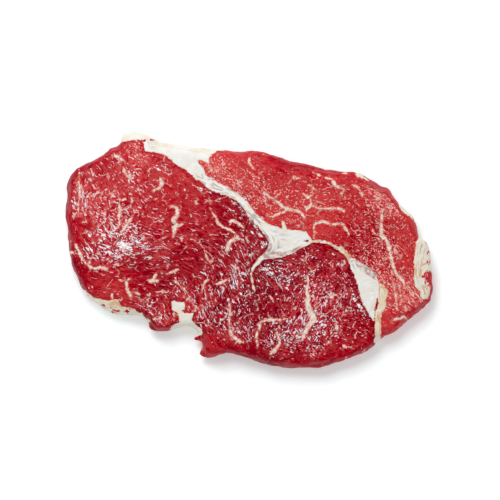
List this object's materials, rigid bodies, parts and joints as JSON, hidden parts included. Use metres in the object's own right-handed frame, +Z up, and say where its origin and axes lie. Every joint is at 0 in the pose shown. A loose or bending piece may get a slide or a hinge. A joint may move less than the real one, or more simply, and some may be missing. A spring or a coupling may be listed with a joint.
{
  "type": "raw beef steak",
  "caption": "Raw boneless beef rib steak with muscles divided by white fat seams, marbled, lying flat on its underside.",
  "frame": {"origin": "middle of the steak's box, on the surface that it lies on", "axes": "+X along the steak towards the end with the rim of fat, +Y across it, +Z up through its thickness"},
  "size_m": [0.227, 0.147, 0.0209],
  "materials": {
    "meat": "moist raw beef: red lean with fine marbling, white to cream fat in the seams and at the rim, wet gloss"
  },
  "bodies": {
    "root": {"steak": "meat"}
  },
  "joints": []
}
